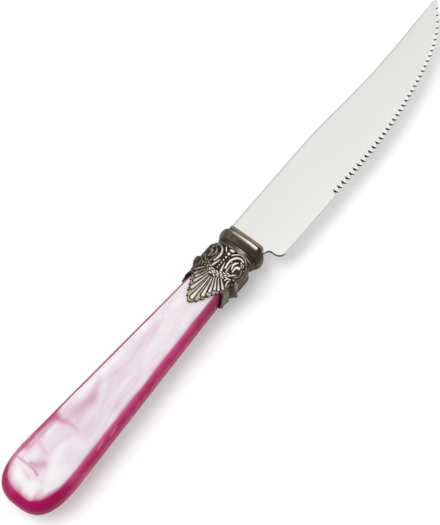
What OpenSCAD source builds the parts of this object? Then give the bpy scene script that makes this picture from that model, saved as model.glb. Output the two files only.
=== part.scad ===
// Steak knife: a stamped, serrated blade with its own tang, a cast ornamental
// ferrule and a bored pearl-acrylic handle, held together by resin round the tang.
// Lies on its side: X runs to the tip, Y to the spine, Z up. Millimetres.

/* [Blade] */
// Length of the blade, from the ferrule's front face to the tip
blade_len = 116; // [105:1:135]
// Thickness of the stamped sheet
blade_t = 1.3; // [1:0.1:2]
// Height of the spine over the knife's axis, at the ferrule
spine_h = 7.6; // [7:0.1:9]
// How far the spine swells above that height before it dips
spine_swell = 0.5; // [0:0.1:1.5]
// Distance from the ferrule to the top of the swell
swell_x = 42; // [30:1:50]
// How far the spine dips below its height at the ferrule
spine_dip = 1.05; // [0:0.05:2]
// Distance from the tip back to the bottom of the dip
dip_back = 36; // [28:1:45]
// Height of the tip over the knife's axis
tip_h = 6.8; // [5.5:0.1:8]
// Length of the rounded nose at the tip
nose_len = 1.6; // [1:0.1:3]
// Depth of the straight edge below the knife's axis
edge_h = 12.6; // [12:0.1:14]
// Distance from the ferrule to the end of the straight edge
belly_x = 46; // [35:1:55]
// Distance from the tip back to the middle of the belly's curve
belly_back = 25; // [20:1:30]
// Depth of the belly's middle below the knife's axis
belly_h = 7; // [5.5:0.1:8]
// Flat stretch of the step between the ferrule and the heel
choil_flat = 0.25; // [0.1:0.05:2]
// How far that step lies below the plinth
choil_drop = 0.5; // [0.2:0.1:1]
// Radius from the step down to the heel
choil_r = 1.8; // [1:0.1:2.2]
// Radius of the heel's lower corner
heel_r = 2.6; // [1.5:0.1:3]
// Width of the ground bevel on the back of the edge
bevel_w = 2.4; // [1.5:0.1:4]
// Thickness left at the edge
edge_t = 0.35; // [0.2:0.05:0.6]

/* [Serration] */
// Distance from the ferrule to the first gullet
first_gullet = 33.1; // [28:0.1:45]
// Pitch of the teeth along the knife
tooth_pitch = 2.17; // [1.8:0.01:3]
// Depth of the first gullet, measured on the front face
gullet_depth = 2.3; // [1.2:0.1:2.6]
// Depth of the last gullet, next to the tip
last_gullet_depth = 1.1; // [0.8:0.1:2]
// Width of a gullet at the edge
gullet_w = 1.65; // [1:0.05:1.75]
// Lean of the gullets towards the tip, in degrees
gullet_lean = 10; // [0:1:20]
// Plain stretch of edge left at the tip
tip_plain = 2.2; // [1.5:0.1:6]

/* [Tang] */
// Length of the tang behind the ferrule's front face
tang_len = 46; // [30:1:60]
// Width of the tang at the blade
tang_w = 6.6; // [5:0.1:7]
// Width of the tang at its end
tang_end_w = 4.2; // [3:0.1:5]
// How far each face of the tang is ground below the blade's face
tang_relief = 0.05; // [0.02:0.01:0.2]

/* [Ferrule] */
// Width of the square plinth at the front
plinth_w = 13.2; // [12:0.1:14]
// Thickness of the plinth
plinth_t = 10.4; // [9:0.1:11.5]
// Length of the plinth
plinth_len = 1.1; // [0.8:0.1:2]
// Chamfer round the plinth's front
plinth_chamfer = 0.35; // [0.2:0.05:0.6]
// Width of the rounded collar behind the plinth
collar_w = 17.3; // [16:0.1:19]
// Thickness of the collar
collar_t = 12.2; // [11.6:0.1:13.5]
// Length of the collar
collar_len = 4.1; // [3.5:0.1:6]
// Width of the neck behind the collar
neck_w = 14.2; // [13.6:0.1:15.5]
// Thickness of the neck
neck_t = 10.6; // [10.2:0.1:11.5]
// Length of the plain neck
neck_len = 0.2; // [0.1:0.1:1.5]
// Height of the two bead rings behind the neck
bead_h = 0.3; // [0.2:0.05:0.6]
// Length of each bead ring
bead_len = 0.6; // [0.4:0.1:1.5]
// Width of the swelling body
body_w = 17.3; // [16.6:0.1:19.5]
// Thickness of the swelling body
body_t = 14.6; // [13.6:0.1:16]
// Width of the flat along the middle of each face of the body
body_flat_w = 7; // [4:0.1:8]
// Length over which the body swells to its full width behind the beads
rise_len = 5.2; // [4:0.1:6]
// Length over which the body swells to its full thickness
crown_len = 3.2; // [2.4:0.1:4]
// Length of the body's full stretch
full_len = 5; // [3:0.1:6]
// Length over which the body falls, to the notches between the leaves
fall_len = 4.4; // [3.5:0.1:6]
// Length of the large leaves beyond the notches
leaf_len = 10.8; // [8:0.1:14]
// Length of the small side leaves beyond the notches
side_leaf_len = 3.4; // [2:0.1:5]
// Thickness of the skirt's wall
skirt_wall = 0.8; // [0.6:0.05:1.2]
// Length of solid metal between the beads and the floor of the cup
floor_len = 2.4; // [1.5:0.1:4]
// Depth of the flutes in the large leaves
flute_depth = 0.35; // [0.1:0.05:0.5]
// Angle between neighbouring flutes, in degrees
flute_step = 10; // [8:1:20]

/* [Handle] */
// Distance from the ferrule's front face to the butt
grip_len = 120; // [105:1:135]
// Width of the handle at the notches of the ferrule
mouth_w = 13.6; // [13:0.1:15]
// Thickness of the handle at the notches of the ferrule
mouth_t = 10.2; // [9.5:0.1:11]
// Greatest width, next to the butt
butt_w = 22.8; // [20:0.1:26]
// Greatest thickness, next to the butt
butt_t = 12.8; // [11.5:0.1:13.5]
// Length of the rounded butt
butt_round = 16.8; // [10:0.1:18]
// Squareness of the handle's section, 2 is an oval
handle_square = 3; // [2:0.1:3.5]
// Diameter of the bore for the tang
bore_d = 8.2; // [7.6:0.1:9]
// Depth of the bore beyond the end of the tang
bore_over = 3; // [1:0.5:6]

/* [Fits] */
// Gap between the handle and the ferrule's cup
cup_gap = 0.1; // [0.05:0.01:0.2]
// Gap between the tang and what it passes through
tang_gap = 0.05; // [0.02:0.01:0.1]
// Gap between the resin and the bore
resin_gap = 0.05; // [0.02:0.01:0.1]
// Gap between the blade's shoulder and the ferrule
shoulder_gap = 0.05; // [0.02:0.01:0.1]

/* [Hidden] */

// Round steps: a corner's arc, a curve between two knots, and the sections
arc_steps = 8;
curve_steps = 18;
handle_n = 72;
round_n = 48;

// Slopes of the outline at its knots
spine_root_slope = 0.015;
spine_tip_slope = 0.05;
belly_slope = 0.25;
edge_tip_slope = 1;

// The origin lies under the middle of the knife's box
mid_x = (blade_len - grip_len) / 2;
mid_y = (max(butt_w / 2, spine_h + spine_swell) - max(butt_w / 2, edge_h)) / 2;
low_z = -max(body_t, butt_t) / 2;
module in_place() translate([-mid_x, -mid_y, -low_z]) children();

// A point on the cubic from knot p to knot q, each [x, y, slope]
function knot_y(p, q, t) =
    let (h = q.x - p.x, t2 = t * t, t3 = t2 * t)
    (2 * t3 - 3 * t2 + 1) * p.y + (t3 - 2 * t2 + t) * h * p.z
    + (3 * t2 - 2 * t3) * q.y + (t3 - t2) * h * q.z;
function curve(p, q) =
    [for (i = [0 : curve_steps]) let (t = i / curve_steps) [p.x + t * (q.x - p.x), knot_y(p, q, t)]];
function arc(centre, r, from, to) =
    [for (i = [0 : arc_steps]) let (a = from + (to - from) * i / arc_steps)
        centre + r * [cos(a), sin(a)]];

// The blade's outline, from the ferrule along the spine to the tip and back along the edge
spine_root = [0, spine_h, spine_root_slope];
spine_top = [swell_x, spine_h + spine_swell, 0];
spine_low = [blade_len - dip_back, spine_h - spine_dip, 0];
nose_half = 0.8;
nose_bulge = nose_len / 4;
spine_end = [blade_len - nose_len, tip_h + nose_half, spine_tip_slope];
edge_end = [blade_len - nose_bulge, tip_h - nose_half, edge_tip_slope];
belly = [blade_len - belly_back, -belly_h, belly_slope];
straight_end = [belly_x, -edge_h, 0];
heel_face_x = choil_flat + choil_r;
heel_x = heel_face_x + heel_r;
choil_y = -plinth_w / 2 - choil_drop;

// Height and slope angle of the edge at a distance x from the ferrule
function edge_y(x) =
    x < straight_end.x ? -edge_h
    : x < belly.x ? knot_y(straight_end, belly, (x - straight_end.x) / (belly.x - straight_end.x))
    : knot_y(belly, edge_end, (x - belly.x) / (edge_end.x - belly.x));
slope_step = 0.1;
function edge_angle(x) = atan((edge_y(x) - edge_y(x - slope_step)) / slope_step);

edge_line = concat(
    [[heel_x, -edge_h]],
    curve(straight_end, belly),
    [for (i = [1 : curve_steps]) curve(belly, edge_end)[i]]);
heel_line = concat(
    arc([choil_flat, choil_y - choil_r], choil_r, 90, 0),
    arc([heel_x, -edge_h + heel_r], heel_r, 180, 270));
spine_line = concat(
    curve(spine_root, spine_top),
    [for (i = [1 : curve_steps]) curve(spine_top, spine_low)[i]],
    [for (i = [1 : curve_steps]) curve(spine_low, spine_end)[i]]);
nose_line = [[blade_len - nose_bulge, tip_h + nose_half / 2], [blade_len, tip_h]];
function backwards(line) = [for (i = [len(line) - 1 : -1 : 0]) line[i]];

// The tang's outline, rooted inside the blade, grown by a gap where it passes through a piece
tang_t = blade_t - 2 * tang_relief;
function tang_line(gap) =
    let (root_w = tang_w / 2 + gap, end_w = tang_end_w / 2 + gap, end_x = -tang_len - gap)
    [[heel_face_x, -root_w], [end_x, -end_w], [end_x, end_w], [heel_face_x, root_w]];

// A skin through closed rings of equal count, the last ring meeting the first
function ring_faces(rings, n) =
    [for (j = [0 : rings - 1], i = [0 : n - 1])
        let (j2 = (j + 1) % rings, i2 = (i + 1) % n,
            a = j * n + i, b = j * n + i2, c = j2 * n + i2, d = j2 * n + i)
        each [[a, b, c], [a, c, d]]];

// Takes the back of the edge down to its bevel, from the heel to past the tip
module bevel_cutter() {
    over = 1;
    fall = (blade_t - edge_t) / bevel_w;
    line = concat(edge_line, [[edge_end.x + over, edge_end.y + over * edge_tip_slope]]);
    last = len(line) - 1;
    // Each section leans on the bevel's plane and reaches past the edge and the back face
    sections = [for (i = [0 : last])
        let (
            along = line[min(i + 1, last)] - line[max(i - 1, 0)],
            out = [along.y, -along.x] / norm(along),
            far = line[i] + out * over,
            near = line[i] - out * (bevel_w + over),
            high = blade_t / 2 - edge_t + over * fall,
            low = -blade_t / 2 - over * fall)
        each [[far.x, far.y, high], [near.x, near.y, low], [far.x, far.y, low - over]]];
    walls = [for (i = [0 : last - 1], k = [0 : 2])
        let (k2 = (k + 1) % 3, a = i * 3 + k, b = i * 3 + k2, c = a + 3, d = b + 3)
        each [[a, d, c], [a, b, d]]];
    polyhedron(sections, concat(walls, [[2, 1, 0], [3 * last, 3 * last + 1, 3 * last + 2]]));
}

// One V gullet, ground from the front face down and out through the edge
module gullet(x, depth) {
    // Depth left of the gullet where it breaks through the back
    through = depth / 4;
    fall = atan(blade_t / (depth - through));
    side = (gullet_w / 2) / (depth * sin(fall));
    over = 1;
    tall = 3;
    translate([x, edge_y(x), blade_t / 2])
        rotate([0, 0, edge_angle(x) - gullet_lean])
            translate([0, depth, 0])
                rotate([90 + fall, 0, 0])
                    translate([0, 0, -over])
                        linear_extrude(depth / cos(fall) + 2 * over + blade_t)
                            polygon([[0, 0], [tall * side, tall], [-tall * side, tall]]);
}

module blade() {
    last_gullet = blade_len - tip_plain;
    gullets = floor((last_gullet - first_gullet) / tooth_pitch);
    color("gainsboro") in_place() difference() {
        union() {
            linear_extrude(blade_t, center = true)
                polygon(concat(
                    [[shoulder_gap, spine_h]],
                    [for (i = [1 : len(spine_line) - 1]) spine_line[i]],
                    nose_line,
                    backwards(edge_line),
                    backwards(heel_line),
                    [[shoulder_gap, choil_y]]));
            linear_extrude(tang_t, center = true) polygon(tang_line(0));
        }
        bevel_cutter();
        for (i = [0 : gullets]) {
            share = i / gullets;
            gullet(first_gullet + i * tooth_pitch,
                gullet_depth + share * (last_gullet_depth - gullet_depth));
        }
    }
}

// The ferrule's stations, as distances behind its front face
cove_len = 0.2;
collar_x = plinth_len + cove_len + collar_len / 2;
neck_x = plinth_len + cove_len + collar_len + neck_len;
bead_end_x = neck_x + 2 * bead_len;
cup_floor_x = bead_end_x + floor_len;
crown_x = bead_end_x + crown_len;
body_x = bead_end_x + rise_len;
fall_x = body_x + full_len;
notch_x = fall_x + fall_len;

// Half width and half thickness of the handle at a distance behind the ferrule's front face
taper_end = grip_len - butt_round;
function taper(x, at_mouth, at_butt) =
    at_mouth / 2 + (at_butt - at_mouth) / 2 * (x - notch_x) / (taper_end - notch_x);
function handle_a(x) = taper(x, mouth_w, butt_w);
function handle_b(x) = taper(x, mouth_t, butt_t);

// A point on an oval or squarish section: half sizes a and b, squareness n, angle v
function section_point(a, b, n, v) =
    [a * sign(cos(v)) * pow(abs(cos(v)), 2 / n), b * sign(sin(v)) * pow(abs(sin(v)), 2 / n)];
function section_ring(x, a, b, n, angles) =
    [for (v = angles) let (p = section_point(a, b, n, v)) [-x, p.x, p.y]];
// The same with a flat of half width f along both faces
function flat_point(a, b, n, f, v) =
    let (p = section_point(a, b / pow(1 - pow(f / a, n), 1 / n), n, v)) [p.x, max(-b, min(b, p.y))];

// A smooth step from 0 to 1
function eased(t) = let (u = max(0, min(1, t))) u * u * (3 - 2 * u);

// The leaves: large ones on both faces, small ones on both sides, a notch at each corner
notch_angle = 45;
leaf_point = 1.15;
// Whether an angle lies on a large leaf, and how far it is off the middle of its leaf
function on_face(v) = abs(v % 180 - 90) <= 90 - notch_angle;
function off_leaf(v) = on_face(v) ? abs(v % 180 - 90) : abs(90 - abs(v % 180 - 90));
// Angles round the ferrule, closer together over the large leaves than over the sides
face_n = 40;
side_n = 16;
ferrule_angles = [for (half = [0, 180])
    each concat(
        [for (k = [0 : side_n - 1]) half - notch_angle + 2 * notch_angle * k / side_n],
        [for (k = [0 : face_n - 1]) half + notch_angle + (180 - 2 * notch_angle) * k / face_n])];
ferrule_n = len(ferrule_angles);
function ferrule_ring(x, a, b, n) = section_ring(x, a, b, n, ferrule_angles);
function skirt_end(v) =
    notch_x + (on_face(v) ? leaf_len : side_leaf_len) * (1 - pow(off_leaf(v) / notch_angle, leaf_point));

// Flutes fan out over each large leaf from a middle on the body, fading in and fading out
fan_back = 1;
fan_x = fall_x - fan_back;
fan_clear = 3;
fan_fade = 4;
notch_fade = 12;
function flute(x, y, v) =
    on_face(v)
    ? flute_depth * (0.5 - 0.5 * cos(360 * atan2(abs(y), x - fan_x) / flute_step))
        * eased((norm([x - fan_x, y]) - fan_clear) / fan_fade)
        * eased((notch_angle - off_leaf(v)) / notch_fade)
    : 0;

// The skirt falls from the body and lies down on the handle
lay_over = 1.5;
body_square = 3;
function skirt_point(share, v) =
    let (
        x = fall_x + share * (skirt_end(v) - fall_x),
        lay = eased((x - fall_x) / (fall_len + lay_over)),
        a = (1 - lay) * body_w / 2 + lay * (handle_a(x) + cup_gap + skirt_wall),
        b = (1 - lay) * body_t / 2 + lay * (handle_b(x) + cup_gap + skirt_wall),
        n = (1 - lay) * body_square + lay * handle_square,
        f = (1 - lay) * body_flat_w / 2,
        cut = flute(x, section_point(a, b, n, v).x, v),
        p = flat_point(a - cut, b - cut, n, f, v))
    [-x, p.x, p.y];
function skirt_ring(share) = [for (v = ferrule_angles) skirt_point(share, v)];

// The cup's lining, from its floor to the leaves' ends, and the slot for the tang
function lining_ring(share) =
    [for (v = ferrule_angles)
        let (
            x = cup_floor_x + share * (skirt_end(v) - cup_floor_x),
            p = section_point(handle_a(x) + cup_gap, handle_b(x) + cup_gap, handle_square, v))
        [-x, p.x, p.y]];
function slot_ring(x) =
    [for (v = ferrule_angles)
        let (
            reach = max(abs(cos(v)), abs(sin(v))),
            w = tang_w / 2 + tang_gap,
            t = tang_t / 2 + tang_gap)
        [-x, w * cos(v) / reach, t * sin(v) / reach]];

// The body swells from the second bead to its full stretch, sooner on its faces than on its sides
function body_ring(x) =
    let (
        along = x - bead_end_x,
        rise = eased(along / rise_len),
        crown = sin(90 * min(1, along / crown_len)),
        a = (neck_w + rise * (body_w - neck_w)) / 2,
        b = (neck_t + crown * (body_t - neck_t)) / 2)
    [for (v = ferrule_angles)
        let (p = flat_point(a, b, body_square, crown * body_flat_w / 2, v)) [-x, p.x, p.y]];

plinth_square = 9;
collar_square = 3;
// Share of the collar's height at which its rounding starts
collar_foot = 0.35;
collar_rows = 8;
bead_rows = 4;
body_rows = 4;
side_rows = 2;
skirt_rows = 14;
lining_rows = 5;

module ferrule() {
    front = [
        slot_ring(0),
        ferrule_ring(0, plinth_w / 2 - plinth_chamfer, plinth_t / 2 - plinth_chamfer, plinth_square),
        ferrule_ring(plinth_chamfer, plinth_w / 2, plinth_t / 2, plinth_square),
        ferrule_ring(plinth_len, plinth_w / 2, plinth_t / 2, plinth_square)];
    collar = [for (k = [0 : collar_rows])
        let (turn = 180 * k / collar_rows, up = collar_foot + (1 - collar_foot) * sin(turn))
        ferrule_ring(collar_x - collar_len / 2 * cos(turn),
            (plinth_w + up * (collar_w - plinth_w)) / 2,
            (plinth_t + up * (collar_t - plinth_t)) / 2, collar_square)];
    beads = [for (k = [0 : 2 * bead_rows])
        let (up = bead_h * abs(sin(180 * k / bead_rows)))
        ferrule_ring(neck_x + bead_len * k / bead_rows, neck_w / 2 + up, neck_t / 2 + up, collar_square)];
    swell = concat(
        [for (k = [1 : body_rows]) body_ring(bead_end_x + crown_len * k / body_rows)],
        [for (k = [1 : side_rows]) body_ring(crown_x + (body_x - crown_x) * k / side_rows)]);
    skirt = [for (k = [0 : skirt_rows]) skirt_ring(k / skirt_rows)];
    lining = [for (k = [lining_rows : -1 : 0]) lining_ring(k / lining_rows)];
    rings = concat(front, collar, beads, swell, skirt, lining, [slot_ring(cup_floor_x)]);
    color("dimgray") in_place()
        polyhedron([for (ring = rings) each ring], ring_faces(len(rings), ferrule_n));
}

// The handle's rings: a straight taper, then the rounded butt that closes to a point
butt_plan = 2.85;
butt_side = 2.8;
butt_turn = 10;
shaft_rows = 6;
function butt_share(turn, power) = pow(1 - pow(sin(turn), power), 1 / power);

module handle() {
    handle_angles = [for (i = [0 : handle_n - 1]) 360 * i / handle_n];
    front_x = cup_floor_x + cup_gap;
    shaft = [for (k = [0 : shaft_rows]) let (x = front_x + (taper_end - front_x) * k / shaft_rows)
        section_ring(x, handle_a(x), handle_b(x), handle_square, handle_angles)];
    butt = [for (turn = [butt_turn : butt_turn : 90 - butt_turn])
        section_ring(taper_end + butt_round * sin(turn),
            butt_w / 2 * butt_share(turn, butt_plan), butt_t / 2 * butt_share(turn, butt_side),
            handle_square, handle_angles)];
    rings = concat(shaft, butt);
    count = len(rings) * handle_n;
    last = count - handle_n;
    walls = [for (f = [0 : 2 * handle_n * (len(rings) - 1) - 1]) ring_faces(len(rings), handle_n)[f]];
    tip = [for (i = [0 : handle_n - 1]) [last + i, last + (i + 1) % handle_n, count]];
    cap = [[for (i = [handle_n - 1 : -1 : 0]) i]];
    color("mediumvioletred") in_place() difference() {
        polyhedron(concat([for (ring = rings) each ring], [[-grip_len, 0, 0]]), concat(cap, walls, tip));
        translate([-tang_len - bore_over, 0, 0])
            rotate([0, 90, 0]) cylinder(h = tang_len + bore_over, d = bore_d, $fn = round_n);
    }
}

// Cured resin fills the bore round the tang
module tang_resin() {
    color("wheat") in_place() difference() {
        translate([-tang_len - bore_over + resin_gap, 0, 0])
            rotate([0, 90, 0])
                cylinder(h = tang_len + bore_over - resin_gap - cup_floor_x - cup_gap,
                    d = bore_d - 2 * resin_gap, $fn = round_n);
        linear_extrude(tang_t + 2 * tang_gap, center = true) polygon(tang_line(tang_gap));
    }
}

blade();
ferrule();
handle();
tang_resin();
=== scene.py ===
import math

import bpy
import numpy as np
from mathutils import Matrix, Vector


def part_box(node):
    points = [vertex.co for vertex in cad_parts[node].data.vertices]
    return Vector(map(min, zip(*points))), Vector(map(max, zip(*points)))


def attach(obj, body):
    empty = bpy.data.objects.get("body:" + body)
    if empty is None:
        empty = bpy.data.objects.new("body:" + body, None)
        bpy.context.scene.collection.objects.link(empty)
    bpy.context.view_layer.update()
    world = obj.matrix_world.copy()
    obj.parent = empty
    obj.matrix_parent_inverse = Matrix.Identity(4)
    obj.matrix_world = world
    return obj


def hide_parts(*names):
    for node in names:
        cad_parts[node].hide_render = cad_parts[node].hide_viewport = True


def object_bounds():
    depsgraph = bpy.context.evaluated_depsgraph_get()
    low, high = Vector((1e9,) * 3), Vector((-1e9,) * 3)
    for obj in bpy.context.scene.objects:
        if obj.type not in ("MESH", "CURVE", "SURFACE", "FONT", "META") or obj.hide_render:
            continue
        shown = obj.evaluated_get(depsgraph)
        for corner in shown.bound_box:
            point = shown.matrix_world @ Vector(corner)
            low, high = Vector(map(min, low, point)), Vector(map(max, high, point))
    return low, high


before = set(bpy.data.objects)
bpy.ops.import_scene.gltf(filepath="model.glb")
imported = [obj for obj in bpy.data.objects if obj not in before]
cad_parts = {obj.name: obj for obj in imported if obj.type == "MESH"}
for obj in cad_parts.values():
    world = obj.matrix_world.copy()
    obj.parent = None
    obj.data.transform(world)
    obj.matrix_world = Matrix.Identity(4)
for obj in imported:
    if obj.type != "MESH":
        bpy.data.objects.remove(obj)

cad_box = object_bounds()

# Blade: stamped stainless sheet with its tang in one piece with it, polished to a satin face.
# Its outline is sheared, the back of its edge ground and the gullets cut with a wheel, so those
# walls are rough. Their dark colour is painted shade, and the bright teeth are a painted highlight.
MM = 0.001
FACE_STEEL = (0.755, 0.759, 0.735, 1)
BRIGHT_STEEL = (0.845, 0.85, 0.825, 1)
SHADED_WALL_STEEL = (0.06, 0.058, 0.053, 1)
# How level a patch lies, from wall to face, and the roughness of each
FACE_LEVEL = (0.80, 0.92)
FACE_ROUGH = (0.275, 0.285)
WALL_ROUGH = (0.36, 0.46)


def add_node(tree, kind, settings=None, inputs=None):
    """A node with its settings made and its inputs set or linked."""
    made = tree.nodes.new(kind)
    for name, value in (settings or {}).items():
        setattr(made, name, value)
    for name, value in (inputs or {}).items():
        if isinstance(value, bpy.types.NodeSocket):
            tree.links.new(value, made.inputs[name])
        else:
            made.inputs[name].default_value = value
    return made


def calculate(tree, operation, first, second=0.0):
    return add_node(tree, "ShaderNodeMath", {"operation": operation}, {0: first, 1: second}).outputs[0]


def spread(tree, value, low, high, to_low=0.0, to_high=1.0):
    """A value mapped from one range to another and kept inside it."""
    made = add_node(tree, "ShaderNodeMapRange", {"clamp": True},
                    {0: value, 1: low, 2: high, 3: to_low, 4: to_high})
    return made.outputs[0]


def blend_values(tree, share, first, second):
    made = add_node(tree, "ShaderNodeMix", {"data_type": "FLOAT"}, {0: share, 2: first, 3: second})
    return made.outputs[0]


def blend_colours(tree, share, first, second):
    made = add_node(tree, "ShaderNodeMix", {"data_type": "RGBA"}, {0: share, 6: first, 7: second})
    return made.outputs[2]


def colour_steps(tree, value, stops):
    """A colour for a value, from (place, colour) stops."""
    made = add_node(tree, "ShaderNodeValToRGB", {}, {0: value})
    ramp = made.color_ramp
    while len(ramp.elements) < len(stops):
        ramp.elements.new(0.5)
    for element, (position, colour) in zip(ramp.elements, stops):
        element.position = position
        element.color = colour
    return made.outputs[0]


def new_finish(name):
    material = bpy.data.materials.new(name)
    material.use_nodes = True
    return material, material.node_tree, material.node_tree.nodes["Principled BSDF"]


def give_finish(piece, material):
    piece.data.materials.clear()
    piece.data.materials.append(material)


# Handling marks, shared by every finish: a mask of cloudy smudges and a height of fine grain
marks = bpy.data.node_groups.new("handling_marks", "ShaderNodeTree")
for way, name, kind, usual in (("INPUT", "Smudge Scale", "NodeSocketFloat", 60.0),
                               ("INPUT", "Grain Scale", "NodeSocketFloat", 900.0),
                               ("INPUT", "Stretch", "NodeSocketVector", (1, 1, 1)),
                               ("OUTPUT", "Smudge", "NodeSocketFloat", 0.0),
                               ("OUTPUT", "Grain", "NodeSocketFloat", 0.0)):
    marks.interface.new_socket(name, in_out=way, socket_type=kind).default_value = usual
given = marks.nodes.new("NodeGroupInput").outputs
spot = add_node(marks, "ShaderNodeTexCoord").outputs["Object"]
stretched = add_node(marks, "ShaderNodeVectorMath", {"operation": "MULTIPLY"},
                     {0: spot, 1: given["Stretch"]}).outputs[0]
smudges = add_node(marks, "ShaderNodeTexNoise", {},
                   {"Vector": spot, "Scale": given["Smudge Scale"], "Detail": 4.0, "Roughness": 0.55})
grains = add_node(marks, "ShaderNodeTexNoise", {},
                  {"Vector": stretched, "Scale": given["Grain Scale"], "Detail": 2.0})
add_node(marks, "NodeGroupOutput", {}, {"Smudge": smudges.outputs[0], "Grain": grains.outputs[0]})


def add_marks(tree, smudge_scale, grain_scale, stretch):
    made = add_node(tree, "ShaderNodeGroup", {"node_tree": marks},
                    {"Smudge Scale": smudge_scale, "Grain Scale": grain_scale, "Stretch": stretch})
    return made.outputs["Smudge"], made.outputs["Grain"]


def add_bump(tree, shader, height, strength, distance):
    made = add_node(tree, "ShaderNodeBump", {},
                    {"Height": height, "Strength": strength, "Distance": distance})
    tree.links.new(made.outputs[0], shader.inputs["Normal"])


def line_level(tree, share, line, stops):
    """How high across the blade a line such as the spine runs, at each share of its length."""
    low, high = line[:, 1].min(), line[:, 1].max()
    steps = []
    for part in np.linspace(0, 1, stops):
        at = np.interp(line[0, 0] + part * (line[-1, 0] - line[0, 0]), line[:, 0], line[:, 1])
        grey = (at - low) / (high - low)
        steps.append((part, (grey, grey, grey, 1)))
    return spread(tree, colour_steps(tree, share, steps), 0, 1, low, high)


steel, tree, shader = new_finish("satin_steel")
normal = add_node(tree, "ShaderNodeNewGeometry").outputs["True Normal"]
upward = add_node(tree, "ShaderNodeSeparateXYZ", {}, {0: normal}).outputs[2]
flat_face = spread(tree, calculate(tree, "ABSOLUTE", upward), *FACE_LEVEL)
smudge, grain = add_marks(tree, 45.0, 1500.0, (0.05, 1.0, 1.0))
spot = add_node(tree, "ShaderNodeTexCoord").outputs["Object"]
place = add_node(tree, "ShaderNodeSeparateXYZ", {}, {0: spot}).outputs

SPINE_SHARE = 0.8
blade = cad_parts["blade"]
blade_low, blade_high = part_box("blade")
ferrule_low, ferrule_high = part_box("ferrule")
corners = np.array([corner.co for corner in blade.data.vertices])
spine_from = ferrule_low.y + SPINE_SHARE * (blade_high.y - ferrule_low.y)
spine = corners[corners[:, 1] > spine_from]
spine = spine[np.argsort(spine[:, 0])]

# The face is brightest by the ferrule and along the edge, and a little cloudy
BRIGHTER_SHARE = 0.5
FACE_CLOUD = 0.08
from_tip = spread(tree, place[0], ferrule_high.x, spine[-1, 0], BRIGHTER_SHARE, 0.0)
from_spine = spread(tree, place[1], blade_low.y, spine[:, 1].max(), BRIGHTER_SHARE, 0.0)
cloudy = spread(tree, smudge, 0.3, 0.7, -FACE_CLOUD, FACE_CLOUD)
brighter = calculate(tree, "ADD", calculate(tree, "ADD", from_tip, from_spine), cloudy)
face_colour = blend_colours(tree, brighter, FACE_STEEL, BRIGHT_STEEL)

# The shears rolled the spine's edge over; its shade is painted as a soft grey line that ends before the tip
SPINE_STOPS = 16
SPINE_SHADE = 0.75 * MM
SPINE_SHADE_FULL = 0.3
SPINE_SHADE_SHARE = 0.8
SPINE_SHADE_ENDS = (0.9, 0.97)
SPINE_SHADE_GREY = (0.5, 0.5, 0.49, 1)
along_spine = spread(tree, place[0], spine[0, 0], spine[-1, 0])
spine_at = line_level(tree, along_spine, spine, SPINE_STOPS)
below_spine = calculate(tree, "SUBTRACT", spine_at, place[1])
spine_shade = spread(tree, below_spine, SPINE_SHADE_FULL * SPINE_SHADE, SPINE_SHADE, SPINE_SHADE_SHARE, 0.0)
spine_shade = calculate(tree, "MULTIPLY", spine_shade, spread(tree, along_spine, *SPINE_SHADE_ENDS, 1.0, 0.0))
face_colour = blend_colours(tree, spine_shade, face_colour, SPINE_SHADE_GREY)

# The wheel ground the teeth, and a painted highlight lies in a band along the line through their points
TEETH_FROM = 32.4 * MM
EDGE_STOPS = 24
TEETH_GLINT_BAND = 1.5 * MM
TEETH_GLINT_FULL = 0.7
TEETH_GLINT_SHARE = 0.9
TEETH_GLINT_ENDS = (0.82, 0.97)
TEETH_GLINT_STEEL = (0.9, 0.9, 0.88, 1)
toothed = ferrule_high.x + TEETH_FROM
edge = [(toothed, corners[:, 1].min())]
for x, y, _ in sorted(corners[corners[:, 0] > toothed].tolist()):
    while len(edge) > 1 and ((edge[-1][0] - edge[-2][0]) * (y - edge[-2][1])
                             <= (edge[-1][1] - edge[-2][1]) * (x - edge[-2][0])):
        edge.pop()
    edge.append((x, y))
edge = np.array(edge)
along_edge = spread(tree, place[0], toothed, edge[-1, 0])
edge_at = line_level(tree, along_edge, edge, EDGE_STOPS)
above_edge = calculate(tree, "SUBTRACT", place[1], edge_at)
teeth_glint = spread(tree, above_edge, TEETH_GLINT_FULL * TEETH_GLINT_BAND, TEETH_GLINT_BAND, TEETH_GLINT_SHARE, 0.0)
teeth_glint = calculate(tree, "MULTIPLY", teeth_glint, spread(tree, place[0], toothed, toothed + MM))
teeth_glint = calculate(tree, "MULTIPLY", teeth_glint, spread(tree, along_edge, *TEETH_GLINT_ENDS, 1.0, 0.0))
face_colour = blend_colours(tree, teeth_glint, face_colour, TEETH_GLINT_STEEL)

shader.inputs["Metallic"].default_value = 1.0
# The walls get the dark steel as painted shade, the faces their own steel
tree.links.new(blend_colours(tree, flat_face, SHADED_WALL_STEEL, face_colour), shader.inputs["Base Color"])
face_rough = spread(tree, grain, 0.3, 0.7, *FACE_ROUGH)
wall_rough = spread(tree, grain, 0.3, 0.7, *WALL_ROUGH)
tree.links.new(blend_values(tree, flat_face, wall_rough, face_rough), shader.inputs["Roughness"])
add_bump(tree, shader, grain, 0.0015, 0.00005)
give_finish(blade, steel)

# Ferrule: one cast zinc collar, plated, stained dark and rubbed bright on its high places.
# A plinth and a plain rounded collar meet the blade, and the swelling body carries scrolls, beads and
# a garland above a palmette leaf on each face. Its cup slides over the handle's front end.

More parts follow.
